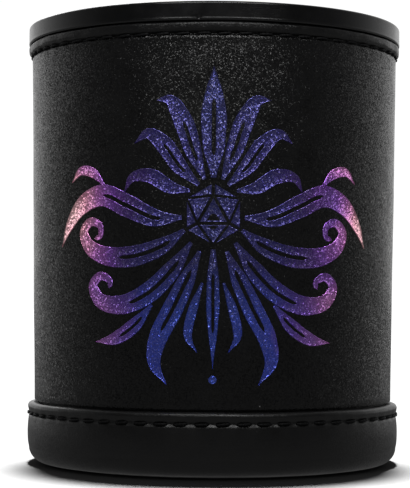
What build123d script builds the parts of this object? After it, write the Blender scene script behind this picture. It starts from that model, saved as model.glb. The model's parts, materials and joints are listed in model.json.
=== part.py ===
from build123d import *
from math import atan, cos, degrees, radians
import os

# A leather-covered dice cup that stands mouth up on a pull-off base cap, which closes a small
# compartment for the dice. Millimetres, +Z up, origin at the centre of the underside. The front
# faces -Y, and both leather seams are at the back, on +Y.

# ---- Driving dimensions ----
HEIGHT = 100.0                # table to the top of the rim ring
RIM_RADIUS = 43.0             # rim ring and top hem
RING_HEIGHT = 4.1             # visible band of the rim ring
RING_EDGE = 0.5               # rounding of the ring's outer top edge
MOUTH_EDGE = 1.6              # softer rounding of its inner top edge
WRAP_RADIUS_LOW = 41.1        # body leather at its lower edge
WRAP_RADIUS_HIGH = 42.15      # body leather under the hem: the body has a slight moulding draft
CAP_HEIGHT = 14.1             # base cap with its leather
CAP_RADIUS = 42.6             # base cap at its fullest
CAP_BELLY = 7.6               # height at which it is fullest

LEATHER = 1.1                 # leather on the body
CAP_LEATHER = 1.0             # leather on the cap
GLUE = 0.05                   # glue line between nested pieces
SHELL_WALL = 1.9              # rigid body tube
VELVET = 0.9                  # lining of the chamber
FELT = 0.8                    # lining of the compartment
BOARD = 2.0                   # partition and cap floor
FOAM = 3.0                    # damping pad under the chamber floor
DIE_SIZE = 16.0               # standard die that the compartment takes
DIE_ROOM = 0.8                # free height over it

# ---- Base cap ----
SPIGOT_RADIUS = 39.4          # outside of the body's spigot
SPIGOT_BORE = 37.2            # inside of the spigot, the compartment's wall
SLIP_FIT = 0.1                # radial play of the spigot in the cap
PART_GAP = 0.3                # open line between the cap's hem and the body leather
CAP_SHELL_RADIUS = 41.2
CAP_REBATE_RADIUS = 40.35     # the shell is thinner where the leather lies double
CAP_REBATE_BOTTOM = 10.9
CORNER_CENTRE = (38.65, 4.0)  # centre of the rounded bottom edge, radius and height
CORNER_RADIUS = 3.6           # leather round the bottom edge
BASE_DISC = 1.4
BASE_DISC_RADIUS = 37.0
BASE_DISC_EDGE = 0.5

# ---- Body ----
BODY_BOTTOM = CAP_HEIGHT + PART_GAP
SHOULDER = BODY_BOTTOM - 0.2
RING_BOTTOM = HEIGHT - RING_HEIGHT
HEM_TOP = RING_BOTTOM - 0.2
HEM_FULL = HEM_TOP - 0.55     # height at which the hem is fullest
RING_SKIRT_BOTTOM = 90.0
RING_BORE = 37.1
RING_SKIRT_RADIUS = 38.05

# ---- Stitching ----
THREAD = 0.6
STITCH_LENGTH = 3.3
STITCHES = 60
TOP_STITCH_HEIGHT = 93.3
CAP_STITCH_HEIGHT = 11.6
GROOVE = 0.42                 # radius of the groove that the stitches lie in
SEAM_GAP = 0.35               # slit where the leather's two edges meet
SEAM_ROW_OFFSET = 2.6         # each row of seam stitches from the slit
SEAM_PITCH = 4.45
SEAM_SPAN = (BODY_BOTTOM + 1.5, TOP_STITCH_HEIGHT - 2.0)
SEAM_COUNT = round((SEAM_SPAN[1] - SEAM_SPAN[0]) / SEAM_PITCH)
CAP_SEAM_SPAN = (4.2, 10.6)
CAP_SEAM_COUNT = 2
CAP_STITCH_LENGTH = 2.5
POCKET_END = 0.25             # the groove runs past each end of a seam stitch by this much

# ---- Derived levels ----
CAP_FLOOR_BOTTOM = BASE_DISC + GLUE
CAP_FLOOR_TOP = CAP_FLOOR_BOTTOM + BOARD
CAP_LINING_TOP = CAP_FLOOR_TOP + GLUE + FELT
CEILING = CAP_LINING_TOP + DIE_SIZE + DIE_ROOM
LEDGE = CEILING + FELT + GLUE
PARTITION_TOP = LEDGE + BOARD
PAD_BOTTOM = PARTITION_TOP + GLUE
PAD_TOP = PAD_BOTTOM + FOAM
CHAMBER_FLOOR = PAD_TOP + GLUE + VELVET
SPIGOT_BOTTOM = CAP_LINING_TOP + 0.6
CAP_SHELL_TOP = CAP_HEIGHT - 0.2

DRAFT = (WRAP_RADIUS_HIGH - WRAP_RADIUS_LOW) / (TOP_STITCH_HEIGHT - BODY_BOTTOM)


def wrap_radius(z):
    """Outside of the body leather at a height."""
    return WRAP_RADIUS_LOW + DRAFT * (z - BODY_BOTTOM)


def shell_radius(z):
    """Outside of the rigid body tube at a height."""
    return wrap_radius(z) - LEATHER - GLUE


def shell_bore(z):
    """Inside of the rigid body tube at a height."""
    return shell_radius(z) - SHELL_WALL


def spin(outline):
    """Solid of revolution about Z from closed edges drawn as (radius, height)."""
    return revolve(Plane.XZ * make_face(outline), Axis.Z)


def turned(*corners):
    """Solid of revolution from corners (radius, height) or (radius, height, rounding)."""
    points = [corner[:2] for corner in corners]
    roundings = [corner[2] if len(corner) == 3 else 0 for corner in corners]
    return spin(FilletPolyline(*points, radius=roundings, close=True).edges())


def disc(radius, bottom, thickness, edge=0.2):
    """Flat disc with slightly rounded edges."""
    top = bottom + thickness
    return turned((0, bottom), (radius, bottom, edge), (radius, top, edge), (0, top))


def seam_slit(bottom, top):
    """Block that opens a leather tube along its back seam."""
    reach = 2 * RIM_RADIUS
    block = Box(SEAM_GAP, reach, top - bottom, align=(Align.CENTER, Align.MIN, Align.MIN))
    return Pos(0, 0, bottom) * block


def rod(radius, length):
    """Upright length of thread with rounded ends."""
    straight = Cylinder(radius, length)
    return fillet(straight.edges().filter_by(GeomType.CIRCLE), 0.8 * radius)


def seam_rows(piece, radius_at, bottom, top, count):
    """Copies of an upright piece beside the back seam, in two rows that follow the slope."""
    slope = degrees(atan((radius_at(top) - radius_at(bottom)) / (top - bottom)))
    pitch = (top - bottom) / count
    row = []
    for side in (-1, 1):
        turn = degrees(SEAM_ROW_OFFSET / radius_at(bottom)) * side
        for i in range(count):
            z = bottom + (i + 0.5) * pitch
            row.append(Rot(0, 0, turn) * Pos(0, radius_at(z), z) * Rot(-slope, 0, 0) * piece)
    return row


def hem_stitches(radius, z):
    """One row of stitches round a hem."""
    stitch = Pos(radius, 0, z) * Rot(90, 0, 0) * rod(THREAD / 2, STITCH_LENGTH)
    pitch = 360 / STITCHES
    return [Rot(0, 0, pitch * (i + 0.5)) * stitch for i in range(STITCHES)]


# ---- Pieces of the cup ----

def rim_ring():
    """Moulded ring: a flat top with rounded edges and a skirt that covers the lining's edge."""
    return turned(
        (RING_BORE, RING_SKIRT_BOTTOM, 0.3),
        (RING_SKIRT_RADIUS, RING_SKIRT_BOTTOM, 0.3),
        (RING_SKIRT_RADIUS, RING_BOTTOM),
        (RIM_RADIUS, RING_BOTTOM, 0.3),
        (RIM_RADIUS, HEIGHT, RING_EDGE),
        (RING_BORE, HEIGHT, MOUTH_EDGE),
    )


def body_shell():
    """Rigid tube with a little draft, an inner ledge for the partition and a spigot below."""
    top = RING_BOTTOM - GLUE
    return turned(
        (SPIGOT_BORE, SPIGOT_BOTTOM, 0.4),
        (SPIGOT_RADIUS, SPIGOT_BOTTOM, 0.8),
        (SPIGOT_RADIUS, SHOULDER),
        (shell_radius(SHOULDER), SHOULDER),
        (shell_radius(top), top),
        (shell_bore(top), top),
        (shell_bore(LEDGE), LEDGE),
        (SPIGOT_BORE, LEDGE),
    )


def body_wrap():
    """Leather on the body, turned under itself at the top, with a groove along the stitches."""
    groove_top = TOP_STITCH_HEIGHT + GROOVE
    groove_bottom = TOP_STITCH_HEIGHT - GROOVE
    stitch_radius = wrap_radius(TOP_STITCH_HEIGHT)
    inner_top = (shell_radius(HEM_TOP) + GLUE, HEM_TOP)
    inner_bottom = (shell_radius(BODY_BOTTOM) + GLUE, BODY_BOTTOM)
    lower = (wrap_radius(groove_bottom), groove_bottom)
    upper = (wrap_radius(groove_top), groove_top)
    hem_swell = (RIM_RADIUS - 0.3, (upper[1] + HEM_FULL) / 2)
    hem_full = (RIM_RADIUS - 0.05, HEM_FULL)
    hem_roll = (RIM_RADIUS - 0.55, HEM_TOP)
    outline = [
        Line(inner_bottom, (WRAP_RADIUS_LOW, BODY_BOTTOM)),
        Line((WRAP_RADIUS_LOW, BODY_BOTTOM), lower),
        ThreePointArc(lower, (stitch_radius - GROOVE, TOP_STITCH_HEIGHT), upper),
        Spline(upper, hem_swell, hem_full, hem_roll, tangents=[(1, 1), (-1, 0)]),
        Line(hem_roll, inner_top),
        Line(inner_top, inner_bottom),
    ]
    wrap = spin(outline) - seam_slit(BODY_BOTTOM - 1, HEM_TOP + 1)
    pocket = Cylinder(GROOVE, STITCH_LENGTH + 2 * POCKET_END)
    return wrap - seam_rows(pocket, wrap_radius, *SEAM_SPAN, SEAM_COUNT)


def top_stitching():
    return hem_stitches(wrap_radius(TOP_STITCH_HEIGHT), TOP_STITCH_HEIGHT)


def seam_stitching():
    return seam_rows(rod(THREAD / 2, STITCH_LENGTH), wrap_radius, *SEAM_SPAN, SEAM_COUNT)


def lining_wall():
    """Velvet sleeve from the chamber floor to behind the ring's skirt."""
    bottom = CHAMBER_FLOOR + GLUE
    top = RING_BOTTOM - 0.3
    return turned(
        (shell_bore(bottom) - GLUE - VELVET, bottom),
        (shell_bore(bottom) - GLUE, bottom),
        (shell_bore(top) - GLUE, top),
        (shell_bore(top) - GLUE - VELVET, top),
    )


def partition_disc():
    return disc(shell_bore(LEDGE) - GLUE, LEDGE, BOARD)


def compartment_lining():
    return disc(SPIGOT_BORE - 0.1, CEILING, FELT)


def floor_pad():
    return disc(shell_bore(PAD_BOTTOM) - GLUE, PAD_BOTTOM, FOAM, edge=0.5)


def floor_lining():
    return disc(shell_bore(PAD_TOP) - GLUE, PAD_TOP + GLUE, VELVET)


# ---- Pieces of the base cap ----

def cap_shell():
    """Rigid cap: a floor and a short wall, rebated at the top for the doubled leather."""
    bore = SPIGOT_RADIUS + SLIP_FIT
    return turned(
        (0, CAP_FLOOR_BOTTOM),
        (CAP_SHELL_RADIUS, CAP_FLOOR_BOTTOM, CORNER_RADIUS - CAP_LEATHER - GLUE),
        (CAP_SHELL_RADIUS, CAP_REBATE_BOTTOM),
        (CAP_REBATE_RADIUS, CAP_REBATE_BOTTOM),
        (CAP_REBATE_RADIUS, CAP_SHELL_TOP, 0.15),
        (bore, CAP_SHELL_TOP, 0.3),
        (bore, CAP_FLOOR_TOP, 0.4),
        (0, CAP_FLOOR_TOP),
    )


def cap_wrap():
    """Leather of the cap: a turned hem at the top, full at mid-height, turned under the base."""
    corner_r, corner_z = CORNER_CENTRE
    side = (corner_r + CORNER_RADIUS, corner_z)
    diagonal = cos(radians(45)) * CORNER_RADIUS
    under = (corner_r, corner_z - CORNER_RADIUS)
    inner_radius = CAP_SHELL_RADIUS + GLUE
    inner_corner = CORNER_RADIUS - CAP_LEATHER
    inner_edge = BASE_DISC_RADIUS + 0.1
    rebate = CAP_REBATE_RADIUS + GLUE
    step = CAP_REBATE_BOTTOM + GLUE
    groove_radius = CAP_RADIUS - 0.3
    groove_low = (groove_radius, CAP_STITCH_HEIGHT - GROOVE)
    groove_high = (groove_radius, CAP_STITCH_HEIGHT + GROOVE)
    hem_full = (CAP_RADIUS - 0.1, (groove_high[1] + CAP_HEIGHT) / 2)
    hem_roll = (CAP_RADIUS - 0.9, CAP_HEIGHT)
    inner_bottom = CAP_FLOOR_BOTTOM - GLUE
    outline = [
        ThreePointArc(under, (corner_r + diagonal, corner_z - diagonal), side),
        ThreePointArc(side, (CAP_RADIUS, CAP_BELLY), groove_low),
        ThreePointArc(groove_low, (groove_radius - GROOVE, CAP_STITCH_HEIGHT), groove_high),
        Spline(groove_high, hem_full, hem_roll, tangents=[(0.5, 1), (-1, 0)]),
        Polyline(hem_roll, (rebate, CAP_HEIGHT), (rebate, step), (inner_radius, step)),
        Line((inner_radius, step), (inner_radius, inner_bottom + inner_corner)),
        RadiusArc(
            (inner_radius, inner_bottom + inner_corner),
            (inner_radius - inner_corner, inner_bottom),
            inner_corner,
        ),
        Line((inner_radius - inner_corner, inner_bottom), (inner_edge, inner_bottom)),
        Line((inner_edge, inner_bottom), (inner_edge, under[1])),
        Line((inner_edge, under[1]), under),
    ]
    edges = [edge for piece in outline for edge in piece.edges()]
    wrap = spin(edges) - seam_slit(CORNER_CENTRE[1], CAP_HEIGHT + 1)
    pocket = Cylinder(GROOVE, CAP_STITCH_LENGTH + 2 * POCKET_END)
    return wrap - seam_rows(pocket, cap_side, *CAP_SEAM_SPAN, CAP_SEAM_COUNT)


def cap_side(z):
    """Radius that the cap's seam stitches lie at: the side is nearly upright."""
    return CAP_RADIUS - 0.2


def cap_stitching():
    return hem_stitches(CAP_RADIUS - 0.3, CAP_STITCH_HEIGHT)


def cap_seam_stitching():
    stitch = rod(THREAD / 2, CAP_STITCH_LENGTH)
    return seam_rows(stitch, cap_side, *CAP_SEAM_SPAN, CAP_SEAM_COUNT)


def cap_floor_lining():
    return disc(SPIGOT_RADIUS - 0.3, CAP_FLOOR_TOP + GLUE, FELT)


def base_disc():
    return disc(BASE_DISC_RADIUS, 0, BASE_DISC, edge=BASE_DISC_EDGE)


PIECES = [
    rim_ring,
    body_shell,
    body_wrap,
    top_stitching,
    seam_stitching,
    lining_wall,
    floor_lining,
    floor_pad,
    partition_disc,
    compartment_lining,
    cap_shell,
    cap_wrap,
    cap_stitching,
    cap_seam_stitching,
    cap_floor_lining,
    base_disc,
]

os.makedirs("parts", exist_ok=True)
for piece in PIECES:
    shape = piece()
    if isinstance(shape, list):
        shape = Compound(children=shape)
    shape.label = piece.__name__
    export_step(shape, f"parts/{piece.__name__}.step")
    print(piece.__name__, len(shape.solids()), round(shape.volume, 1))
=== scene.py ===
import json
import math

import bmesh
import bpy
import numpy as np
from mathutils import Matrix, Vector

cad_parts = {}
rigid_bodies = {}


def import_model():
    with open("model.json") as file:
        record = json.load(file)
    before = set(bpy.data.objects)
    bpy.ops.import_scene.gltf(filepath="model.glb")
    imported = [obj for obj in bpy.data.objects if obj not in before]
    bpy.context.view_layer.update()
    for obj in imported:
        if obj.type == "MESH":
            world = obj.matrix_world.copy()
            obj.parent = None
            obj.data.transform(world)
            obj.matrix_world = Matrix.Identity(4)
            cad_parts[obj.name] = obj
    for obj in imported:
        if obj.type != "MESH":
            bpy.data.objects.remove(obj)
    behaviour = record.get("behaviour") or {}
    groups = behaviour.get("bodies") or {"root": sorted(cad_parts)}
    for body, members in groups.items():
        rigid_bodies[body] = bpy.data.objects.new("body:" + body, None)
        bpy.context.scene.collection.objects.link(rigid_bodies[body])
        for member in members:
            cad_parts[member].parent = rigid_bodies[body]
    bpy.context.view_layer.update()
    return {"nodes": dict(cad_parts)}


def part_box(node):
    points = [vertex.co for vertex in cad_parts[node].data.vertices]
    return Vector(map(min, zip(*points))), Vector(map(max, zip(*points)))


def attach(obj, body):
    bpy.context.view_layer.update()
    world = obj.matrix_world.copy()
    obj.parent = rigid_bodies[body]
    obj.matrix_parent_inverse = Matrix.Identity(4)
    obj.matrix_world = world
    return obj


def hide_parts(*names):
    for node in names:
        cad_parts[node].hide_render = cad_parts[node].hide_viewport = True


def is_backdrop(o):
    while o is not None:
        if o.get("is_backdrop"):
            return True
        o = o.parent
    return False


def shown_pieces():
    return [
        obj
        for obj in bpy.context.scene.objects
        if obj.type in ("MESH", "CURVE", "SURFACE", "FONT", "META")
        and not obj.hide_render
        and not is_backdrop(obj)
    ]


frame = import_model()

# The looks of a leather dice cup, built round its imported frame. Lengths in this script are
# millimetres, turned to metres by MM where a mesh, light or camera is made. Angles round the cup
# are measured from the front, -Y, and grow towards +X, so both leather seams are at pi.

MM = 0.001


def level(node, end):
    """Lowest (0) or highest (1) point of a CAD node, in millimetres."""
    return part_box(node)[end].z / MM


def reach(node):
    """Largest radius of a CAD node, in millimetres."""
    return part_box(node)[1].x / MM


# ---- Levels and radii, from the frame ----
HEIGHT = level("rim_ring", 1)
RIM_RADIUS = reach("rim_ring")
HEM_TOP = level("body_wrap", 1)
BODY_BOTTOM = level("body_wrap", 0)
SKIRT_BOTTOM = level("rim_ring", 0)
CAP_TOP = level("cap_wrap", 1)
CAP_BOTTOM = level("cap_wrap", 0)
TOP_STITCH = (level("top_stitching", 0) + level("top_stitching", 1)) / 2
CAP_STITCH = (level("cap_stitching", 0) + level("cap_stitching", 1)) / 2
CAP_RADIUS = reach("cap_wrap")
BASE_RADIUS = reach("base_disc")

# ---- Sizes that the frame's boxes don't give ----
WRAP_LOW = 41.1               # body leather at its lower edge
WRAP_HIGH = 42.15             # body leather at the stitch line
LEATHER = 1.1                 # thickness of the body leather
CAP_STITCH_RADIUS = 42.3      # cap leather at its stitch line
RING_BOTTOM = HEM_TOP + 0.2
RING_BORE = 37.1
SKIRT_RADIUS = 38.05
RIM_EDGE = 0.5                # rounding of the ring's outer edge
RIM_LIP = 1.6                 # rounding of its inner edge
STITCHES = 60                 # round each hem
STITCH_LENGTH = 3.3
THREAD_RADIUS = 0.27
THREAD_SINK = 0.06            # how far a stitch settles into the leather
SEAM_ROW_OFFSET = 2.6         # from a back seam to each row beside it
SEAM_STITCHES = 17            # in each row of the body's seam
CAP_SEAM_STITCHES = 2         # in each row of the cap's seam
CAP_SEAM_LENGTH = 2.5
VELVET = 0.9                  # thickness of the velvet on the wall
VELVET_MIDDLE = 38            # about the wall's radius there
VELVET_JOINT = math.pi - 0.5  # angle where its two edges meet
DRAFT = (WRAP_HIGH - WRAP_LOW) / (TOP_STITCH - BODY_BOTTOM)


def wrap_radius(z):
    """Outside of the body leather at a height."""
    return WRAP_LOW + DRAFT * (z - BODY_BOTTOM)


# ---------------------------------------------------------------- mesh helpers

def arc(centre, radius, start, end, count):
    """Points of an arc in a profile, from angle start to end in degrees."""
    turns = np.radians(np.linspace(start, end, count))
    return [(centre[0] + radius * math.cos(t), centre[1] + radius * math.sin(t)) for t in turns]


def spline(points, step):
    """Points about step apart on a smooth curve through the given points."""
    pts = np.array(points, float)
    ends = (2 * pts[0] - pts[1], 2 * pts[-1] - pts[-2])
    pts = np.vstack([ends[0], pts, ends[1]])
    made = []
    for a, b, c, d in zip(pts, pts[1:], pts[2:], pts[3:]):
        count = max(2, int(np.linalg.norm(c - b) / step))
        for t in np.linspace(0, 1, count, endpoint=False):
            made.append(
                0.5 * (2 * b + (c - a) * t + (2 * a - 5 * b + 4 * c - d) * t * t
                       + (3 * b - a - 3 * c + d) * t ** 3)
            )
    made.append(pts[-2])
    return [tuple(p) for p in made]


def run(start, end, step):
    """Points of a straight run without its last one."""
    count = max(1, round(math.dist(start, end) / step))
    return [
        (start[0] + (end[0] - start[0]) * i / count, start[1] + (end[1] - start[1]) * i / count)
        for i in range(count)
    ]


def away(angle, place):
    """Signed angle from place, wrapped."""
    return (angle - place + math.pi) % (2 * math.pi) - math.pi


def round_angles(count, fine=()):
    """Angles round the cup, with extra ones beside each (angle, radius) place in fine."""
    angles = list(np.linspace(-math.pi, math.pi, count, endpoint=False))
    for place, radius in fine:
        for offset in (-1.0, -0.75, -0.55, -0.4, -0.28, -0.18, -0.09, 0, 0.09, 0.18, 0.28, 0.4,
                       0.55, 0.75, 1.0):
            angles.append(away(place + offset / radius, 0))
    return np.unique(np.round(angles, 7))


def bell(x, width):
    return np.exp(-((x / width) ** 2))


def around_point(turn, r, z):
    return np.stack([r * np.sin(turn), -r * np.cos(turn), z], -1)


def linked(name, data):
    """New object for a mesh, light or camera, put in the scene."""
    made = bpy.data.objects.new(name, data)
    bpy.context.scene.collection.objects.link(made)
    return made


def soften(mesh, sharp):
    """Shades a mesh smooth but for edges over the sharp angle in degrees."""
    mesh.shade_smooth()
    mesh.set_sharp_from_angle(angle=math.radians(sharp))


def new_piece(name, vertices, faces, sharp=40):
    """Mesh object from points in millimetres."""
    mesh = bpy.data.meshes.new(name)
    mesh.from_pydata([tuple(v) for v in np.asarray(vertices) * MM], [], faces)
    work = bmesh.new()
    work.from_mesh(mesh)
    bmesh.ops.recalc_face_normals(work, faces=work.faces)
    work.to_mesh(mesh)
    work.free()
    soften(mesh, sharp)
    return linked(name, mesh)


def lathe(name, outline, angles, relief=None, sharp=40):
    """Turns a profile of (radius, height) about Z. A profile that starts and ends on the axis is
    closed there with poles; any other is a ring and closes on itself. relief(angle, r, z, index)
    gives how far each point moves outwards and upwards."""
    profile = np.array(outline, float)
    poles = profile[0, 0] == 0 and profile[-1, 0] == 0
    body = profile[1:-1] if poles else profile
    turn, index = np.meshgrid(angles, np.arange(len(body)), indexing="ij")
    r, z = body[index, 0], body[index, 1]
    if relief is not None:
        out, up = relief(turn, r, z, index)
        r, z = r + out, z + up
    points = around_point(turn, r, z).reshape(-1, 3)
    rows, columns = len(angles), len(body)
    faces = []
    for i in range(rows):
        a, b = i * columns, (i + 1) % rows * columns
        last = columns - 1 if poles else columns
        for j in range(last):
            k = (j + 1) % columns
            faces.append((a + j, b + j, b + k, a + k))
    if poles:
        low, high = len(points), len(points) + 1
        points = np.vstack([points, [0, 0, profile[0, 1]], [0, 0, profile[-1, 1]]])
        for i in range(rows):
            a, b = i * columns, (i + 1) % rows * columns
            faces.append((low, b, a))
            faces.append((a + columns - 1, b + columns - 1, high))
    return new_piece(name, points, faces, sharp)


# ---------------------------------------------------------------- node helpers

class Nodes:
    """A node tree, with short calls to add to it. Sizes are millimetres."""

    def __init__(self, tree):
        self.tree = tree

    def add(self, kind, **values):
        """New node: lower-case values are its settings, and In_x ones its inputs or their links."""
        node = self.tree.nodes.new(kind)
        for key, value in values.items():
            if not key.startswith("In_"):
                setattr(node, key, value)
                continue
            name = key[3:].replace("_", " ")
            socket = node.inputs[int(name) if name.isdigit() else name]
            if isinstance(value, bpy.types.NodeSocket):
                self.tree.links.new(value, socket)
            else:
                socket.default_value = value
        return node

    def math(self, operation, a, b=0.0, c=0.0):
        return self.add("ShaderNodeMath", operation=operation, In_0=a, In_1=b, In_2=c).outputs[0]

    def vector(self, operation, a, **inputs):
        return self.add("ShaderNodeVectorMath", operation=operation, In_0=a, **inputs).outputs[0]

    def span(self, value, low, high, to_low, to_high):
        node = self.add("ShaderNodeMapRange", In_Value=value, In_From_Min=low, In_From_Max=high,
                        In_To_Min=to_low, In_To_Max=to_high)
        return node.outputs["Result"]

    def mix(self, factor, a, b):
        """Colour between a and b, which are colours or sockets."""
        a, b = ((*colour, 1) if isinstance(colour, tuple) else colour for colour in (a, b))
        return self.add("ShaderNodeMix", data_type="RGBA", In_0=factor, In_6=a, In_7=b).outputs[2]


class Finish(Nodes):
    """A material round one Principled shader."""

    def __init__(self, name, **sockets):
        self.material = bpy.data.materials.new(name)
        self.material.use_nodes = True
        super().__init__(self.material.node_tree)
        self.shader = self.tree.nodes["Principled BSDF"]
        for socket, value in sockets.items():
            self.shader.inputs[socket.replace("_", " ")].default_value = value
        self.place = self.add("ShaderNodeTexCoord").outputs["Object"]

    def noise(self, size, detail=2.0, roughness=0.5, place=None):
        return self.add("ShaderNodeTexNoise", In_Vector=place or self.place, In_Scale=per_mm(size),
                        In_Detail=detail, In_Roughness=roughness).outputs[0]

    def cells(self, size):
        """Outputs of a cell pattern: Distance from a cell's middle, and a Color for each cell."""
        return self.add("ShaderNodeTexVoronoi", In_Vector=self.place,
                        In_Scale=per_mm(size)).outputs

    def ramp(self, factor, *stops):
        node = self.add("ShaderNodeValToRGB", In_Fac=factor)
        band = node.color_ramp
        while len(band.elements) < len(stops):
            band.elements.new(0.5)
        for element, (position, colour) in zip(band.elements, stops):
            element.position = position
            element.color = (*colour, 1)
        return node.outputs["Color"]

    def bump(self, height, distance):
        return self.add("ShaderNodeBump", In_Height=height, In_Distance=distance * MM,
                        In_Strength=1.0).outputs["Normal"]

    def plug(self, **sockets):
        for name, value in sockets.items():
            self.tree.links.new(value, self.shader.inputs[name.replace("_", " ")])
        return self.material


def per_mm(size):
    """Texture scale whose features are about size millimetres across."""
    return 1 / (size * MM)


def times(share, tint):
    return tuple(share * t for t in tint)


def grain_height(finish, size):
    """Fine pebbled leather: domed cells of uneven size over slower swells."""
    pebbles = finish.cells(size)["Distance"]
    fine = finish.noise(size * 0.8, 2, 0.6)
    large = finish.noise(size * 6, 2, 0.5)
    height = finish.math("MULTIPLY", pebbles, -1.0)
    height = finish.math("MULTIPLY_ADD", fine, 0.9, height)
    return finish.math("MULTIPLY_ADD", large, 0.5, height)


def facets(finish, size, tilt, under):
    """Tilts the normal of each tiny cell of grain its own way, so that a few catch the light."""
    lean = finish.vector("SUBTRACT", finish.cells(size)["Color"], In_1=(0.5, 0.5, 0.5))
    leaning = finish.vector("ADD", finish.vector("SCALE", lean, In_Scale=tilt), In_1=under)
    return finish.vector("NORMALIZE", leaning)


def dust(finish):
    """1 on a few stray specks of dust, far apart, and 0 elsewhere."""
    spread = finish.cells(DUST_APART)
    chosen = finish.add("ShaderNodeSeparateColor", In_Color=spread["Color"]).outputs["Red"]
    chosen = finish.math("GREATER_THAN", chosen, DUST_ABOVE)
    return finish.math("MULTIPLY", chosen, finish.span(spread["Distance"], *DUST_EDGE, 1, 0))


# Leather: sizes in millimetres and colours.
PEBBLE, FACET = 0.45, 0.22
LEATHER_TINT = (0.0026, 0.0026, 0.0028)
HEM_STEP = 0.5                # height over which a hem's look takes over above its stitches
HEM_CALM = -0.5               # change of the facets' tilt on a hem, as a share of it
HEM_DULL = 0.08               # how much rougher a hem is
DUST_TINT = (0.35, 0.35, 0.35)
DUST_APART = 5
DUST_ABOVE = 0.965            # cells with a random value over this one hold a speck
DUST_EDGE = (0.02, 0.035)     # inner and outer edge of a speck, as shares of a cell


def leather_finish(name, tilt, gloss, facet=FACET, depth=0.03, hem=None, shine=0.5):
    """Pebbled leather: tilt and facet are of its sparkle, gloss its roughness, depth its grain's
    relief, hem the height of the stitches of a calmer, duller hem, and shine its specular level."""
    finish = Finish(name, Specular_IOR_Level=shine)
    height = grain_height(finish, PEBBLE)
    wear = finish.noise(9, 3)
    colour = finish.mix(finish.span(wear, 0.3, 0.75, 0, 1), LEATHER_TINT, times(2.1, LEATHER_TINT))
    colour = finish.mix(dust(finish), colour, DUST_TINT)
    rough = finish.span(finish.noise(5, 4), 0.3, 0.7, gloss - 0.04, gloss + 0.06)
    if hem is not None:
        up = finish.add("ShaderNodeSeparateXYZ", In_Vector=finish.place).outputs["Z"]
        on_hem = finish.span(up, hem * MM, (hem + HEM_STEP) * MM, 0, 1)
        tilt = finish.math("MULTIPLY_ADD", on_hem, HEM_CALM * tilt, tilt)
        rough = finish.math("MULTIPLY_ADD", on_hem, HEM_DULL, rough)
    normal = facets(finish, facet, tilt, finish.bump(height, depth))
    return finish.plug(Base_Color=colour, Roughness=rough, Normal=normal)


SCUFF_TINT = (0.2, 0.2, 0.2)
SCUFF_STRETCH = (1, 1, 16)    # squeezes the pattern in height, so that scuffs lie level


def plastic_finish(name, tint, gloss, depth=0.012, size=0.25, scuffs=0.0):
    """Moulded plastic: depth and size are of its texture, scuffs is how strong its scuffs are."""
    finish = Finish(name, Specular_IOR_Level=0.5)
    fine = finish.noise(size, 2)
    swirl = finish.noise(14, 2)
    smear = finish.noise(3.5, 4, 0.6)
    squeezed = finish.vector("MULTIPLY", finish.place, In_1=SCUFF_STRETCH)
    streaks = finish.span(finish.noise(3, 3, 0.6, place=squeezed), 0.58, 0.66, 0, scuffs)
    patches = finish.span(finish.noise(8, 1), 0.56, 0.64, 0, 1)
    colour = finish.mix(swirl, tint, times(1.7, tint))
    colour = finish.mix(finish.math("MULTIPLY", streaks, patches), colour, SCUFF_TINT)
    rough = finish.span(smear, 0.3, 0.7, gloss - 0.04, gloss + 0.06)
    return finish.plug(Base_Color=colour, Roughness=rough, Normal=finish.bump(fine, depth))


def thread_finish(name, tint):
    finish = Finish(name, Specular_IOR_Level=0.18)
    fibres = finish.noise(0.09, 2)
    colour = finish.mix(fibres, tint, times(2.4, tint))
    rough = finish.span(fibres, 0.3, 0.7, 0.5, 0.75)
    return finish.plug(Base_Color=colour, Roughness=rough, Normal=finish.bump(fibres, 0.03))


def pile_finish(name, tint, sheen, depth, pile=0.3):
    """Velvet or felt: short fibres, brushed a little differently from place to place."""
    finish = Finish(name, Roughness=0.95, Specular_IOR_Level=0.15, Sheen_Weight=sheen,
                    Sheen_Roughness=0.45, Sheen_Tint=(0.55, 0.55, 0.6, 1))
    fibres = finish.noise(pile, 3, 0.7)
    brushed = finish.noise(7, 3, 0.6)
    shade = finish.mix(brushed, tint, times(2.2, tint))
    colour = finish.mix(finish.span(fibres, 0.35, 0.7, 0, 0.7), shade, times(3.2, tint))
    return finish.plug(Base_Color=colour, Normal=finish.bump(fibres, depth))


def foam_finish(name, tint):
    finish = Finish(name, Roughness=0.85, Specular_IOR_Level=0.3)
    pores = finish.cells(0.5)["Distance"]
    # The pores' hollows are painted darker: painted shade in them.
    colour = finish.mix(finish.span(pores, 0.1, 0.6, 1, 0), tint, times(0.4, tint))
    return finish.plug(Base_Color=colour, Normal=finish.bump(pores, 0.12))


def board_finish(name, tint):
    finish = Finish(name, Roughness=0.9, Specular_IOR_Level=0.2)
    fibres = finish.noise(0.6, 4, 0.7)
    flecks = finish.span(finish.noise(1.8, 2), 0.62, 0.7, 0, 1)
    colour = finish.mix(fibres, times(0.8, tint), times(1.2, tint))
    colour = finish.mix(flecks, colour, times(0.5, tint))
    return finish.plug(Base_Color=colour, Normal=finish.bump(fibres, 0.04))
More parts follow.
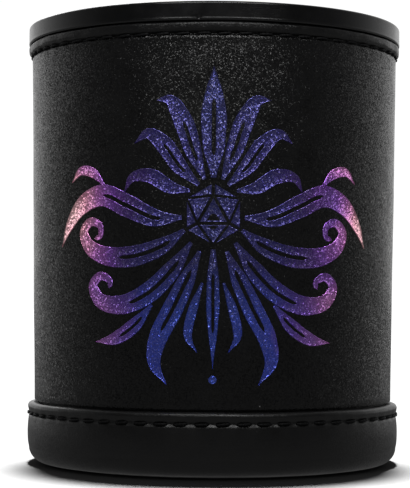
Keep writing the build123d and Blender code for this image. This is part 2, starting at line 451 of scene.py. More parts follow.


# Foil: stops of (angle from the front, colour), whose turn of hue and paler sides are painted
# iridescence and reflection; the heights between which the upper colours give way to the lower
# ones;
# the pale tint of the lips' painted highlight; and the tint of the painted glints in it.
FOIL_UPPER = (
    (0.0, (0.045, 0.050, 0.20)),
    (0.34, (0.055, 0.045, 0.24)),
    (0.52, (0.10, 0.045, 0.26)),
    (0.62, (0.26, 0.085, 0.52)),
    (0.72, (0.60, 0.19, 0.60)),
    (0.82, (0.90, 0.38, 0.52)),
    (0.93, (0.98, 0.60, 0.60)),
)
FOIL_LOWER = (
    (0.0, (0.06, 0.11, 0.60)),
    (0.35, (0.07, 0.10, 0.62)),
    (0.52, (0.22, 0.10, 0.55)),
    (0.66, (0.50, 0.19, 0.58)),
    (0.80, (0.80, 0.34, 0.60)),
)
FOIL_DIVIDE = (45, 33)
FOIL_HIGHLIGHT_TINT = (0.86, 0.86, 0.95)
FOIL_GLINT_TINT = (0.66, 0.62, 0.85)
FOIL_GRAIN, FOIL_FACET = 0.4, 0.28


def foil_colour_with_painted_iridescence(finish):
    """Holographic film: its hue turns with the angle round the cup, a painted iridescence that
    pales towards the sides as a painted reflection, and with height.
    """
    apart = finish.add("ShaderNodeSeparateXYZ", In_Vector=finish.place).outputs
    side = finish.math("ABSOLUTE", apart["X"])
    ahead = finish.math("MULTIPLY", apart["Y"], -1.0)
    # The hue follows this angle from the front: painted iridescence, pale at the sides as a painted
    # reflection.
    turn = finish.math("ARCTAN2", side, ahead)
    drift = finish.span(finish.noise(16, 3), 0.3, 0.7, -0.10, 0.10)
    turn = finish.span(finish.math("ADD", turn, drift), 0.0, 1.0, 0.0, 1.0)
    above, below = FOIL_DIVIDE
    lowness = finish.span(apart["Z"], above * MM, below * MM, 0.0, 1.0)
    return finish.mix(lowness, finish.ramp(turn, *FOIL_UPPER), finish.ramp(turn, *FOIL_LOWER))


def foil_finish(name, painted_highlight, metal, gloss, tilt):
    """Film over the leather's grain; the number after its name washes its colour towards a pale
    tint:
    a painted highlight.
    """
    finish = Finish(name, Metallic=metal, Specular_IOR_Level=0.6)
    # Painted highlight: the film's colour washed towards a pale tint by the number after its name.
    colour = finish.mix(painted_highlight, foil_colour_with_painted_iridescence(finish), FOIL_HIGHLIGHT_TINT)
    # Painted glints: paler specks of sparkle in the film's colour.
    painted_glint = finish.span(finish.noise(0.26, 2, 0.7), 0.5, 0.75, 0, 0.35)
    colour = finish.mix(painted_glint, colour, FOIL_GLINT_TINT)
    rough = finish.span(finish.noise(1.2, 3), 0.3, 0.7, gloss - 0.06, gloss + 0.08)
    grain = finish.bump(grain_height(finish, FOIL_GRAIN), 0.03)
    normal = facets(finish, FOIL_FACET, tilt, grain)
    return finish.plug(Base_Color=colour, Roughness=rough, Normal=normal)


# ---------------------------------------------------------------- leather

def swell(turn, z):
    """Slow unevenness of leather glued over the tube, in millimetres."""
    return (
        0.035 * np.sin(2 * turn + 0.05 * z + 0.7)
        + 0.025 * np.sin(5 * turn - 0.11 * z + 1.1)
        + 0.018 * np.sin(9 * turn + 0.23 * z)
    )


def pinch(turn, z, stitch_level):
    """How far one stitch line draws the leather in: deepest at the needle holes."""
    phase = turn * STITCHES
    hole = 0.5 + 0.5 * np.cos(phase)
    line = (0.20 + 0.20 * hole ** 3) * bell(z - stitch_level, 0.38)
    above = z - stitch_level
    pillow = 0.05 * (1 - hole) * (bell(above - 1.0, 0.5) + bell(above + 1.0, 0.5))
    return pillow - line


def hem_unevenness(turn):
    """The hem was folded and sewn by hand, so its fullness wanders a little."""
    return (
        0.050 * np.sin(7 * turn + 1.0)
        + 0.035 * np.sin(13 * turn + 2.1)
        + 0.025 * np.sin(29 * turn + 0.4)
        + 0.015 * np.sin(STITCHES * turn * 0.5 + 0.8)
    )


def seam_dip(turn, radius):
    """The slit where the leather's edges meet, and the needle rows beside it."""
    across = away(turn, math.pi) * radius
    rows = bell(np.abs(across) - SEAM_ROW_OFFSET, 0.4)
    return -0.75 * bell(across, 0.17) + 0.05 * bell(np.abs(across) - 0.45, 0.25) - 0.16 * rows


def seam_places(radius):
    offset = SEAM_ROW_OFFSET / radius
    return [(math.pi, radius), (math.pi - offset, radius), (math.pi + offset, radius)]


def body_leather():
    inner_low = (WRAP_LOW - LEATHER, BODY_BOTTOM)
    inner_high = (wrap_radius(HEM_TOP) - LEATHER, HEM_TOP - 0.1)
    at_stitch = wrap_radius(TOP_STITCH)
    hem = spline([
        (at_stitch, TOP_STITCH - 1.0), (at_stitch, TOP_STITCH - 0.4),
        (at_stitch + 0.02, TOP_STITCH), (42.62, TOP_STITCH + 0.42), (42.84, TOP_STITCH + 0.9),
        (42.93, HEM_TOP - 0.7), (42.86, HEM_TOP - 0.25), (42.5, HEM_TOP), (41.9, HEM_TOP - 0.03),
    ], 0.1)[::-1]
    low, high = BODY_BOTTOM + 0.5, TOP_STITCH - 1.1
    side = run((wrap_radius(high), high), (wrap_radius(low), low), 1.0)
    edge = [(WRAP_LOW, BODY_BOTTOM + 0.35), (WRAP_LOW - 0.1, BODY_BOTTOM + 0.1),
            (WRAP_LOW - 0.35, BODY_BOTTOM)]
    inside = run(inner_low, inner_high, 16)
    outline = [*inside, inner_high, *hem, *side, *edge]
    first_outer = len(inside) + 1

    def relief(turn, r, z, index):
        outer = index >= first_outer
        on_hem = np.clip((z - TOP_STITCH) / 1.2, 0, 1)
        out = swell(turn, z) * (1 - 0.7 * on_hem) + pinch(turn, z, TOP_STITCH)
        out = out + seam_dip(turn, WRAP_LOW) + on_hem * hem_unevenness(turn)
        up = 0.04 * np.sin(11 * turn + 0.5) * on_hem
        return out * outer, up * outer

    piece = lathe("body_leather", outline, round_angles(480, seam_places(WRAP_LOW)), relief)
    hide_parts("body_wrap")
    return piece


def cap_leather():
    rounding = 3.6
    centre = (38.65, CAP_BOTTOM + rounding)
    corner = arc(centre, rounding, -90, -4, 16)
    side = spline([(42.24, 3.9), (42.48, 5.3), (42.58, 7.5), (42.5, 9.4), (42.32, 10.9),
                   (CAP_STITCH_RADIUS, CAP_STITCH), (42.40, 12.3), (42.56, 13.1)], 0.16)
    roll = spline([(42.56, 13.1), (42.38, 13.65), (41.95, 13.98), (41.45, CAP_TOP),
                   (40.6, CAP_TOP - 0.1)], 0.15)
    inside = [(40.42, 13.7), (40.4, 11.0), (41.25, 10.95), (41.25, 4.0),
              *arc(centre, rounding - 1.0, 0, -90, 6)]
    under = [(37.2, 1.4), (37.12, 1.2), (37.12, 0.6), (37.3, CAP_BOTTOM)]
    outline = [*corner, *side, *roll[1:], *inside, *under]
    last_outer = len(corner) + len(side) + len(roll) - 3

    def relief(turn, r, z, index):
        outer = (index <= last_outer) & (index >= 2)
        on_hem = np.clip((z - CAP_STITCH) / 0.8, 0, 1)
        belly = bell(z - 7, 4.5)
        out = 0.8 * swell(turn + 1.3, z * 3) * belly + pinch(turn, z, CAP_STITCH)
        out = out + 0.8 * on_hem * hem_unevenness(turn + 2.0)
        out = out + seam_dip(turn, CAP_RADIUS) * np.clip(z - 3.2, 0, 1)
        up = 0.04 * np.sin(9 * turn + 2.5) * on_hem
        return out * outer, up * outer

    piece = lathe("cap_leather", outline, round_angles(480, seam_places(CAP_RADIUS)), relief)
    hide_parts("cap_wrap")
    return piece


def base_leather():
    outline = [
        (0, 0.12), *run((2, 0.1), (30, 0.02), 4),
        (31, 0.0), (34, 0.0), (35.5, 0.0), *arc((BASE_RADIUS - 0.55, 0.55), 0.55, -90, 0, 6),
        (BASE_RADIUS, 1.2), (BASE_RADIUS - 0.1, 1.38), (30, 1.4), (0, 1.4),
    ]

    def relief(turn, r, z, index):
        up = 0.03 * (1 + np.sin(3 * turn + r * 0.3)) * (z < 0.3) * bell(r - 16, 12)
        return 0 * r, up

    piece = lathe("base_leather", outline, round_angles(240), relief)
    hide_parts("base_disc")
    return piece


# ---------------------------------------------------------------- stitches

def stitch_template(length):
    """One stitch as (along, across, out): a three-ply twisted thread that dives in at its ends."""
    along = np.linspace(-0.5, 0.5, 19)
    around = np.linspace(0, 2 * math.pi, 15, endpoint=False)
    s, a = np.meshgrid(along, around, indexing="ij")
    taper = np.clip(1 - (2 * np.abs(s)) ** 10, 0, 1) ** 0.5
    lobes = 1 + 0.13 * np.cos(3 * (a - s * length * 2.6))
    radius = THREAD_RADIUS * lobes * (0.35 + 0.65 * taper)
    lift = 0.24 - 0.62 * (2 * np.abs(s)) ** 3.2
    points = np.stack([s * length, radius * np.cos(a), lift + 0.85 * radius * np.sin(a)], -1)
    rows, columns = s.shape
    faces = [
        (i * columns + j, i * columns + (j + 1) % columns,
         (i + 1) * columns + (j + 1) % columns, (i + 1) * columns + j)
        for i in range(rows - 1) for j in range(columns)
    ]
    faces.append(tuple(range(columns))[::-1])
    faces.append(tuple((rows - 1) * columns + j for j in range(columns)))
    return points.reshape(-1, 3), faces


def sewn_row(name, placed, length, node):
    """Joins one stitch for each function in placed, which maps (along, across, out) to a point."""
    template, faces = stitch_template(length)
    points, all_faces = [], []
    for place in placed:
        start = len(points) * len(template)
        points.append(place(template[:, 0], template[:, 1], template[:, 2]))
        all_faces += [tuple(start + k for k in face) for face in faces]
    piece = new_piece(name, np.vstack(points), all_faces, 60)
    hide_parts(node)
    return piece


def hem_row(radius, stitch_level, seed):
    """Placings of the stitches round a hem, each a little off its mark."""
    rng = np.random.default_rng(seed)
    placed = []
    for i in range(STITCHES):
        centre = 2 * math.pi * (i + 0.5) / STITCHES - math.pi
        slant, drop, shift = rng.normal(0.05, 0.02), rng.normal(0, 0.03), rng.normal(0, 0.05)

        def place(s, w, h, centre=centre, slant=slant, drop=drop, shift=shift):
            return around_point(centre + (s + shift) / radius, radius - THREAD_SINK + h,
                                stitch_level + drop + w + slant * s)

        placed.append(place)
    return placed


def seam_row(radius_at, low, high, count, seed):
    """Placings of the two upright rows beside a back seam."""
    rng = np.random.default_rng(seed)
    placed = []
    for side in (-1, 1):
        for i in range(count):
            centre = low + (high - low) * (i + 0.5) / count
            slant, shift = rng.normal(0.04, 0.02), rng.normal(0, 0.05)

            def place(s, w, h, side=side, centre=centre, slant=slant, shift=shift):
                z = centre + s + shift
                turn = math.pi + (side * SEAM_ROW_OFFSET + w + slant * s) / radius_at(centre)
                return around_point(turn, radius_at(z) - THREAD_SINK + h, z)

            placed.append(place)
    return placed


def stitching():
    """The four runs of stitches, each with the body it rides on."""
    low, high = level("seam_stitching", 0) - 0.5, level("seam_stitching", 1) + 0.5
    cap_low = level("cap_seam_stitching", 0) - 0.35
    cap_high = level("cap_seam_stitching", 1) + 0.35
    cap_radius = CAP_RADIUS - 0.14
    top = hem_row(wrap_radius(TOP_STITCH), TOP_STITCH, 11)
    seam = seam_row(wrap_radius, low, high, SEAM_STITCHES, 12)
    cap = hem_row(CAP_STITCH_RADIUS, CAP_STITCH, 13)
    cap_seam = seam_row(lambda z: cap_radius, cap_low, cap_high, CAP_SEAM_STITCHES, 14)
    return (
        ("cup", sewn_row("top_thread", top, STITCH_LENGTH, "top_stitching")),
        ("cup", sewn_row("seam_thread", seam, STITCH_LENGTH, "seam_stitching")),
        ("base_cap", sewn_row("cap_thread", cap, STITCH_LENGTH, "cap_stitching")),
        ("base_cap", sewn_row("cap_seam_thread", cap_seam, CAP_SEAM_LENGTH, "cap_seam_stitching")),
    )


# ---------------------------------------------------------------- ring and linings

GATE = (-0.0745, RING_BOTTOM + 0.45)   # small moulding nick: angle and height


def rim():
    outline = [
        *arc((RIM_RADIUS - 0.3, RING_BOTTOM + 0.3), 0.3, -90, 0, 5),
        *run((RIM_RADIUS, RING_BOTTOM + 0.4), (RIM_RADIUS, HEIGHT - RIM_EDGE - 0.1), 0.14),
        *arc((RIM_RADIUS - RIM_EDGE, HEIGHT - RIM_EDGE), RIM_EDGE, 0, 90, 9),
        *run((RIM_RADIUS - RIM_EDGE - 0.3, HEIGHT), (RING_BORE + RIM_LIP, HEIGHT), 0.8),
        *arc((RING_BORE + RIM_LIP, HEIGHT - RIM_LIP), RIM_LIP, 90, 180, 12),
        *run((RING_BORE, HEIGHT - 1.8), (RING_BORE, SKIRT_BOTTOM + 0.4), 0.9),
        *arc((RING_BORE + 0.3, SKIRT_BOTTOM + 0.3), 0.3, 180, 270, 4),
        *arc((SKIRT_RADIUS - 0.3, SKIRT_BOTTOM + 0.3), 0.3, 270, 360, 4),
        (SKIRT_RADIUS, RING_BOTTOM - 0.2),
        (SKIRT_RADIUS + 0.2, RING_BOTTOM),
    ]

    def relief(turn, r, z, index):
        side = r > RIM_RADIUS - 0.2
        nick = bell(away(turn, GATE[0]) * RIM_RADIUS, 0.32) * bell(z - GATE[1], 0.28)
        parting = bell(away(turn, math.pi) * RIM_RADIUS, 0.12)
        flash = 0.05 * bell(z - RING_BOTTOM - 0.42, 0.15)
        out = side * (0.02 * np.sin(3 * turn + 0.4) - 0.28 * nick + 0.05 * parting + flash)
        return out, 0.0 * z

    fine = [(GATE[0], RIM_RADIUS), (math.pi, RIM_RADIUS)]
    piece = lathe("rim", outline, round_angles(360, fine), relief)
    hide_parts("rim_ring")
    return piece


def velvet_ends():
    """Lowest and highest level of the wall's velvet, and the radius of its back at each."""
    low, high = level("lining_wall", 0), level("lining_wall", 1)
    back_high = reach("lining_wall")
    return low, high, back_high - DRAFT * (high - low), back_high


def velvet_wall():
    low, high, back_low, back_high = velvet_ends()
    inner = run((back_low - VELVET, low), (back_high - VELVET, high), 1.6)
    outline = [*inner, (back_high - VELVET, high), (back_high, high), (back_low, low)]
    count = len(inner)

    def relief(turn, r, z, index):
        face = (index > 0) & (index < count)
        joint = bell(away(turn, VELVET_JOINT) * VELVET_MIDDLE, 0.35)
        wave = 0.05 * np.sin(4 * turn + z * 0.09) + 0.035 * np.sin(17 * turn - z * 0.05)
        return (wave + 0.45 * joint) * face, 0 * z

    angles = round_angles(300, [(VELVET_JOINT, VELVET_MIDDLE)])
    piece = lathe("velvet_wall", outline, angles, relief)
    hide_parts("lining_wall")
    return piece


def soft_disc(name, node, crown, wave):
    """Round piece of pile fabric or foam with a soft edge and a slightly uneven top: crown is how
    far the top falls at its rim, and wave how far it wanders."""
    low, high, radius = level(node, 0), level(node, 1), reach(node)
    thick = high - low
    edge = min(0.45 * thick, 0.5)
    outline = [
        (0, low), *run((3, low), (radius - 1.0, low), 4),
        *arc((radius - edge, low + edge), edge, -90, 0, 4),
        *arc((radius - edge, high - edge), edge, 0, 90, 5),
        *run((radius - 1.0, high), (2, high), 1.5), (0, high),
    ]

    def relief(turn, r, z, index):
        top = z > high - 0.25 * thick
        sag = -crown * bell(radius - r, 2.5)
        uneven = wave * (np.sin(2 * turn + r * 0.35) * np.sin(r * 0.22 + 0.6) - 1) * (r / radius)
        return 0 * r, top * (sag + uneven)

    piece = lathe(name, outline, round_angles(180), relief)
    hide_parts(node)
    return piece


# ---------------------------------------------------------------- foil print

FIELD, LIP, SUNK = 0.045, 0.13, -0.05   # heights of the film over the leather
LIP_AT, FIELD_AT = 0.16, 0.36           # distance of the lip and of the flat field from the edge

# Strokes of the right half: points (across, height), the half-width at each, and the slot as
# (start, end, half-width), the first two being shares of the stroke's length, or None.
STROKES = [
    # palmette
    ([(1.9, 62.6), (4.3, 68.6), (6.3, 74.4), (9.0, 79.0), (12.2, 79.4)],
     [0.4, 1.9, 2.2, 1.5, 0], (0.2, 0.6, 0.3)),
    ([(3.1, 61.4), (7.2, 65.4), (10.4, 69.8), (14.0, 72.3), (17.2, 70.4)],
     [0.4, 1.8, 2.0, 1.3, 0], (0.2, 0.6, 0.28)),
    ([(4.9, 60.2), (9.2, 61.0), (13.4, 63.4), (17.6, 63.2), (19.6, 60.0)],
     [0.3, 1.5, 1.7, 1.1, 0], None),
    # upper arm and its leaf
    ([(6.6, 54.6), (12.5, 54.6), (18.8, 57.2), (25.0, 59.6), (31.0, 57.6), (35.3, 53.2),
      (37.8, 48.8)], [0.4, 2.0, 2.5, 2.4, 2.1, 1.3, 0], (0.12, 0.52, 0.36)),
    ([(24.5, 61.6), (27.6, 64.4), (31.4, 65.0), (34.2, 62.6)], [0.2, 1.2, 1.1, 0], None),
    # middle arm, ending in a volute
    ([(6.0, 52.0), (11.0, 48.6), (17.2, 46.6), (23.6, 46.6), (28.6, 48.6), (30.4, 51.8),
      (28.4, 54.0), (25.8, 53.2), (25.6, 51.0), (27.2, 50.4)],
     [0.4, 1.9, 2.3, 2.1, 1.7, 1.3, 1.0, 0.85, 0.7, 0.5], (0.1, 0.42, 0.34)),
    # lower arm, ending in a volute, and its leaf
    ([(4.6, 49.4), (8.6, 43.8), (13.6, 39.0), (19.6, 36.4), (25.2, 37.0), (27.6, 40.2),
      (25.6, 42.4), (23.0, 41.4), (23.2, 39.8)],
     [0.4, 2.0, 2.3, 2.1, 1.7, 1.3, 1.0, 0.8, 0.5], (0.12, 0.5, 0.34)),
    ([(13.0, 36.4), (17.0, 32.0), (21.6, 29.2), (26.8, 28.4)],
     [0.3, 1.7, 1.5, 0], (0.2, 0.6, 0.25)),
    # hanging arm and the small curl inside it
    ([(2.8, 47.6), (5.6, 41.4), (8.6, 35.2), (11.6, 29.4), (12.4, 24.2), (9.6, 19.6)],
     [0.4, 1.9, 2.3, 2.1, 1.5, 0], (0.14, 0.6, 0.34)),
    ([(2.2, 41.0), (4.2, 35.4), (5.2, 30.0), (3.2, 26.4)], [0.3, 1.1, 1.0, 0], None),
]
CENTRE_STROKES = [
    ([(0, 63.0), (0, 69.0), (0, 76.0), (0, 81.5), (0, 86.4)],
     [0.5, 2.4, 2.9, 1.8, 0], (0.2, 0.7, 0.36)),
    ([(0, 48.0), (0, 42.5), (0, 36.0), (0, 29.5), (0, 23.0)],
     [0.5, 1.3, 1.5, 0.9, 0], (0.2, 0.7, 0.25)),
]
STROKE_STEP = 0.45            # between the points of a stroke
POINT_WIDTH = 0.02            # half-width of a stroke's pointed end
SLOT_OPEN = 0.2               # half-width at which a slot has its full depth
TILE_SHARE = 0.86             # size of a die facet's tile, as a share of the facet
DIE_CENTRE, DIE_RADIUS = (0.0, 55.4), 6.6
BEAD_CENTRE, BEAD_RADIUS = (0.0, 20.8), 0.95


def on_leather(across, height, out):
    """Point on the body leather, from the distance across the front and the height."""
    radius = wrap_radius(height)
    turn = across / radius
    return around_point(turn, radius + swell(turn, height) + out, height)


def film_stroke(points, widths, slot):
    """Grid of a stroke, as points on the leather, with the faces of its field and of its lips."""
    line = np.array(spline(points, STROKE_STEP))
    length = np.concatenate([[0], np.cumsum(np.linalg.norm(np.diff(line, axis=0), axis=1))])
    share = length / length[-1]
    marks = np.array([np.argmin(np.linalg.norm(line - np.array(p), axis=1)) for p in points])
    width = np.maximum(np.interp(share, share[marks], widths), POINT_WIDTH)
    width = np.convolve(np.pad(width, 3, mode="edge"), np.ones(7) / 7, mode="valid")
    width[-1] = POINT_WIDTH
    tangent = np.gradient(line, axis=0)
    tangent /= np.linalg.norm(tangent, axis=1)[:, None]
    normal = np.stack([-tangent[:, 1], tangent[:, 0]], 1)
    gap = np.zeros(len(line))
    if slot is not None:
        start, end, half = slot
        inside = np.clip((share - start) / (end - start), 0, 1)
        gap = half * np.clip(4 * np.sin(math.pi * inside), 0, 1) ** 0.5
    open_share = np.clip(gap / SLOT_OPEN, 0, 1)
    lip = np.minimum(LIP_AT, 0.45 * width)
    field = np.minimum(FIELD_AT, 0.8 * width)
    room = np.maximum(width - field - gap, 0)
    inner_lip = gap + np.minimum(LIP_AT, 0.3 * room)
    inner_field = gap + np.minimum(FIELD_AT, 0.6 * room)
    half_section = [
        (gap, FIELD + (SUNK - FIELD) * open_share),
        (inner_lip, FIELD + (LIP - FIELD) * open_share),
        (inner_field, np.full(len(line), FIELD)),
        (width - field, np.full(len(line), FIELD)),
        (width - lip, np.full(len(line), LIP)),
        (width, np.full(len(line), SUNK)),
    ]
    points, faces, lips = [], [], []
    n, outer_lip = len(line), len(half_section) - 2
    for side in (-1, 1):
        start = sum(len(p) for p in points)
        for offset, out in half_section:
            place = line + side * normal * offset[:, None]
            points.append(on_leather(place[:, 0], place[:, 1], out))
        for column in range(outer_lip + 1):
            for i in range(n - 1):
                a = start + column * n + i
                on_slot = column < 2 and open_share[i] > 0.5
                group = lips if column == outer_lip or on_slot else faces
                group.append((a, a + 1, a + n + 1, a + n))
    return np.vstack(points), faces, lips


def film_tile(corners):
    """Flat patch with a raised lip, from its corners (across, height)."""
    outer = np.array(corners, float)
    centre = outer.mean(0)
    size = np.linalg.norm(outer - centre, axis=1).min()
    rings = []
    for inset, out in ((0, SUNK), (LIP_AT * 1.3, LIP), (FIELD_AT * 1.3, FIELD)):
        ring = centre + (outer - centre) * (1 - min(inset / size * 1.4, 0.8))
        rings.append((ring, out))
    n = len(outer)
    points = [on_leather(ring[:, 0], ring[:, 1], np.full(n, out)) for ring, out in rings]
    lips = [
        (k * n + i, k * n + (i + 1) % n, (k + 1) * n + (i + 1) % n, (k + 1) * n + i)
        for k in range(2) for i in range(n)
    ]
    return np.vstack(points), [tuple(range(2 * n, 3 * n))], lips


def corners_round(centre, radius, count):
    """Corners of a regular polygon, from the one straight above its centre."""
    turns = [math.radians(360 // count * i) for i in range(count)]
    return [(centre[0] + radius * math.sin(t), centre[1] + radius * math.cos(t)) for t in turns]


def die_tiles():
    """Facets of a plain twenty-sided die seen from a face, with narrow gaps between them."""
    outer = corners_round(DIE_CENTRE, DIE_RADIUS, 6)
    inner = corners_round(DIE_CENTRE, 0.6 * DIE_RADIUS, 3)
    tiles = [inner]
    for i in range(3):
        near, after = inner[i], inner[(i + 1) % 3]
        here, nxt, before = outer[2 * i], outer[(2 * i + 1) % 6], outer[(2 * i - 1) % 6]
        tiles += [[near, nxt, after], [near, here, nxt], [near, before, here]]
    shrunk = []
    for tile in tiles:
        tile = np.array(tile)
        centre = tile.mean(0)
        shrunk.append(centre + (tile - centre) * TILE_SHARE)
    return shrunk


def foil_print():
    """The whole print: material 0 on its fields and 1 on their lips."""
    points, faces, tags = [], [], []

    def take(film):
        start = sum(len(p) for p in points)
        points.append(film[0])
        for tag, group in enumerate(film[1:]):
            for face in group:
                faces.append(tuple(start + k for k in face))
                tags.append(tag)

    for stroke, widths, slot in STROKES:
        for side in (-1, 1):
            take(film_stroke([(side * u, v) for u, v in stroke], widths, slot))
    for stroke in CENTRE_STROKES:
        take(film_stroke(*stroke))
    for tile in die_tiles():
        take(film_tile(tile))
    (u, v), turns = BEAD_CENTRE, np.linspace(0, 2 * math.pi, 24, endpoint=False)
    take(film_tile([(u + BEAD_RADIUS * math.cos(t), v + BEAD_RADIUS * math.sin(t)) for t in turns]))

    mesh = bpy.data.meshes.new("foil_print")
    mesh.from_pydata([tuple(p) for p in np.vstack(points) * MM], [], faces)
    mesh.polygons.foreach_set("material_index", tags)
    work = bmesh.new()
    work.from_mesh(mesh)
    bmesh.ops.remove_doubles(work, verts=work.verts, dist=0.004 * MM)
    bmesh.ops.dissolve_degenerate(work, edges=work.edges, dist=0.002 * MM)
    for face in work.faces:
        middle = face.calc_center_median()
        if face.normal.dot(Vector((middle.x, middle.y, 0))) < 0:
            face.normal_flip()
    work.to_mesh(mesh)
    work.free()
    soften(mesh, 35)
    return linked("foil_print", mesh)


# ---------------------------------------------------------------- putting it together

def dress(piece, body, slot, *finishes):
    piece.data.materials.clear()
    for finish in finishes:
        piece.data.materials.append(finish)
    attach(piece, body)


def dress_disc(name, node, crown, wave, body, slot, finish):
    """Round piece of cloth glued flat on the piece under it."""
    piece = soft_disc(name, node, crown, wave)
    dress(piece, body, slot, finish)


def dress_node(node, finish):
    """Gives a CAD node that stays visible its finish."""
    mesh_object = frame["nodes"][node]
    mesh_object.data.materials.clear()
    mesh_object.data.materials.append(finish)


def build():
    leather = leather_finish("body_leather_finish", tilt=0.42, gloss=0.27, facet=0.2,
                             hem=TOP_STITCH, shine=0.4)
    cap_finish = leather_finish("cap_leather_finish", tilt=0.12, gloss=0.38, depth=0.018)
    base_finish = leather_finish("base_leather_finish", tilt=0.2, gloss=0.5, depth=0.04)
    ring_finish = plastic_finish("rim_finish", (0.003, 0.003, 0.0033), gloss=0.22, scuffs=0.16)
    shell_finish = plastic_finish("shell_finish", (0.014, 0.014, 0.015), gloss=0.5, depth=0.02,
                                  size=0.4)
    sewing = thread_finish("thread_finish", (0.0022, 0.0022, 0.0025))
    velvet = pile_finish("velvet_finish", (0.018, 0.018, 0.0195), sheen=0.9, depth=0.14)
    felt = pile_finish("felt_finish", (0.014, 0.014, 0.0145), sheen=0.2, depth=0.12)
    foam = foam_finish("foam_finish", (0.03, 0.03, 0.032))
    board = board_finish("board_finish", (0.26, 0.235, 0.2))

    dress(rim(), "cup", "rim_plastic", ring_finish)
    dress(body_leather(), "cup", "body_leather", leather)
    dress(foil_print(), "cup", "body_leather",
          foil_finish("foil_field", painted_highlight=0.0, metal=0.8, gloss=0.34, tilt=0.6),
          # The lips' pale tint is a painted highlight along the film's raised edges.
          foil_finish("foil_lip_highlight", painted_highlight=0.85, metal=0.25, gloss=0.3, tilt=0.3))
    wall = velvet_wall()
    dress(wall, "cup", "velvet", velvet)
    dress_disc("velvet_floor", "floor_lining", 0.25, 0.04, "cup", "velvet", velvet)
    pad = soft_disc("foam_pad", "floor_pad", 0.2, 0.05)
    dress(pad, "cup", "foam", foam)
    dress_disc("compartment_felt", "compartment_lining", 0.05, 0.02, "cup", "felt", felt)
    dress(cap_leather(), "base_cap", "cap_leather", cap_finish)
    dress(base_leather(), "base_cap", "base_leather", base_finish)
    dress_disc("cap_felt", "cap_floor_lining", 0.1, 0.03, "base_cap", "felt", felt)
    for body, row in stitching():
        dress(row, body, "thread", sewing)
    dress_node("body_shell", shell_finish)
    dress_node("cap_shell", shell_finish)
    dress_node("partition_disc", board)


# ---------------------------------------------------------------- stage, light and camera

FOCUS = (0, 0, HEIGHT / 2)
FLOOR_REACH, FLOOR_DEPTH = 8000, 4
FLOOR_RINGS = (4000, 1500, 600, 300, 150, 80)
FLOOR_TINTS = (0.100, 0.100, 0.100), (0.104, 0.104, 0.104)
FLOOR_GLOW = 0.17             # what the cup sees of the floor
ROOM_FRONT = 0.03             # what it sees of the room in front
ROOM_BEHIND = 1.0             # how much brighter the room is straight behind
ROOM_FROM, ROOM_TO = -0.6, 1.0   # how far back, from -1 to 1, the room brightens between
WHITE = (1.05, 1.05, 1.05, 1)
SUN_POWER, SUN_ANGLE, SUN_TILT = 35.0, math.radians(7), math.radians(-10)

# Lamps on the cup and those on its foil alone: name, place, size, power and aim.
CUP_LAMPS = (
    ("front_top", (4, -185, 200), (230, 30), 0.24, (0, -42, 70)),
    ("back_top", (-170, 420, 400), (300, 180), 1.0, FOCUS),
)
FILM_LAMPS = (
    ("film_top", (0, -75, 300), (160, 20), 0.3, FOCUS),
    ("film_-1", (-420, 200, 110), (320, 320), 0.55, FOCUS),
    ("film_1", (420, 200, 110), (320, 320), 0.55, FOCUS),
)

CAMERA_DISTANCE = 398.8
CAMERA_HEIGHT = 36.9
CAMERA_PITCH = math.radians(1.96)
CAMERA_YAW = math.radians(0.274)
CAMERA_ROLL = math.radians(0.34)
SENSOR = 36.0
LENS = 126.42


def floor():
    """Large plain floor. The sun lights it white for the eye; the cup sees only a dim glow."""
    outline = [(0, -FLOOR_DEPTH), (400, -FLOOR_DEPTH), (FLOOR_REACH, -FLOOR_DEPTH),
               (FLOOR_REACH, 0), *((r, 0) for r in FLOOR_RINGS), (0, 0)]
    piece = lathe("floor", outline, round_angles(96))
    finish = Finish("floor_finish", Roughness=0.9, Specular_IOR_Level=0.0,
                    Emission_Color=(1, 1, 1, 1))
    seen = finish.add("ShaderNodeLightPath").outputs["Is Camera Ray"]
    pale = finish.mix(finish.noise(400, 2), *FLOOR_TINTS)
    glow = finish.math("MULTIPLY_ADD", seen, -FLOOR_GLOW, FLOOR_GLOW)
    colour = finish.mix(seen, (0, 0, 0), pale)
    piece.data.materials.append(finish.plug(Base_Color=colour, Emission_Strength=glow))
    piece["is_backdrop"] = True
    return piece


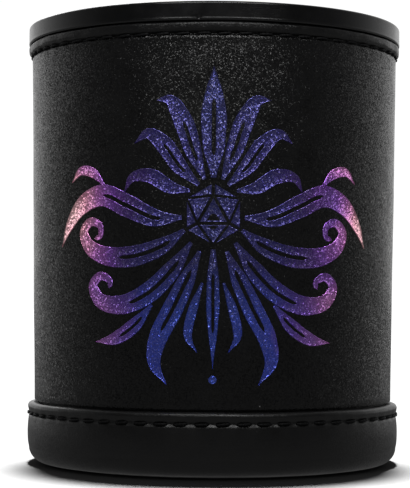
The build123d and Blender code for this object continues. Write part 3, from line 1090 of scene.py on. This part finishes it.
def room():
    """White for the eye; for the cup, a studio that is paler behind it than in front."""
    made = bpy.data.worlds.new("studio")
    made.use_nodes = True
    made.node_tree.nodes.clear()
    nodes = Nodes(made.node_tree)
    towards = nodes.add("ShaderNodeTexCoord").outputs["Generated"]
    back = nodes.add("ShaderNodeSeparateXYZ", In_Vector=towards).outputs["Y"]
    back = nodes.span(back, ROOM_FROM, ROOM_TO, 0.0, 1.0)
    back = nodes.math("MULTIPLY", back, back)
    strength = nodes.math("MULTIPLY_ADD", back, ROOM_BEHIND, ROOM_FRONT)
    seen = nodes.add("ShaderNodeLightPath").outputs["Is Camera Ray"]
    strength = nodes.math("MAXIMUM", seen, strength)
    background = nodes.add("ShaderNodeBackground", In_Strength=strength, In_Color=WHITE)
    nodes.add("ShaderNodeOutputWorld", In_Surface=background.outputs[0])
    bpy.context.scene.world = made


def collection(name, pieces):
    """Group of pieces for a light to fall on."""
    group = bpy.data.collections.new(name)
    for piece in pieces:
        group.objects.link(piece)
    return group


def softbox(receivers, name, place, size, power, aim):
    """Rectangular lamp that falls on a group of pieces, aimed at a point."""
    light = bpy.data.lights.new(name, "AREA")
    light.shape = "RECTANGLE"
    light.size, light.size_y = size[0] * MM, size[1] * MM
    light.energy = power
    lamp = linked(name, light)
    lamp.location = Vector(place) * MM
    lamp.rotation_mode = "QUATERNION"
    away_from = lamp.location - Vector(np.array(aim) * MM)
    lamp.rotation_quaternion = away_from.to_track_quat("Z", "Y")
    lamp.light_linking.receiver_collection = receivers


def lights(ground):
    cup = collection("lit_cup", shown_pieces())
    below = collection("lit_floor", [ground])
    film = collection("lit_film", [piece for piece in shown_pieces() if piece.name == "foil_print"])
    sun = bpy.data.lights.new("floor_light", "SUN")
    sun.energy = SUN_POWER
    sun.angle = SUN_ANGLE
    lamp = linked("floor_light", sun)
    lamp.rotation_euler = (SUN_TILT, 0, 0)
    lamp.light_linking.receiver_collection = below
    for receivers, lamps in ((cup, CUP_LAMPS), (film, FILM_LAMPS)):
        for settings in lamps:
            softbox(receivers, *settings)


def camera():
    data = bpy.data.cameras.new("camera")
    data.sensor_width = SENSOR
    data.lens = LENS
    data.clip_start, data.clip_end = 0.01, 20
    eye = linked("camera", data)
    upright = Matrix.Rotation(math.radians(90) + CAMERA_PITCH, 4, "X")
    turned = Matrix.Rotation(CAMERA_YAW, 4, "Z") @ upright @ Matrix.Rotation(CAMERA_ROLL, 4, "Z")
    place = Vector((0, -CAMERA_DISTANCE, CAMERA_HEIGHT)) * MM
    eye.matrix_world = Matrix.Translation(place) @ turned
    bpy.context.scene.camera = eye


# Blender's own startup objects go first.
for other in [o for o in bpy.data.objects if o.type in ("LIGHT", "CAMERA") or o.name == "Cube"]:
    bpy.data.objects.remove(other)
camera()
build()
room()
lights(floor())
bpy.context.scene.view_settings.view_transform = "Standard"
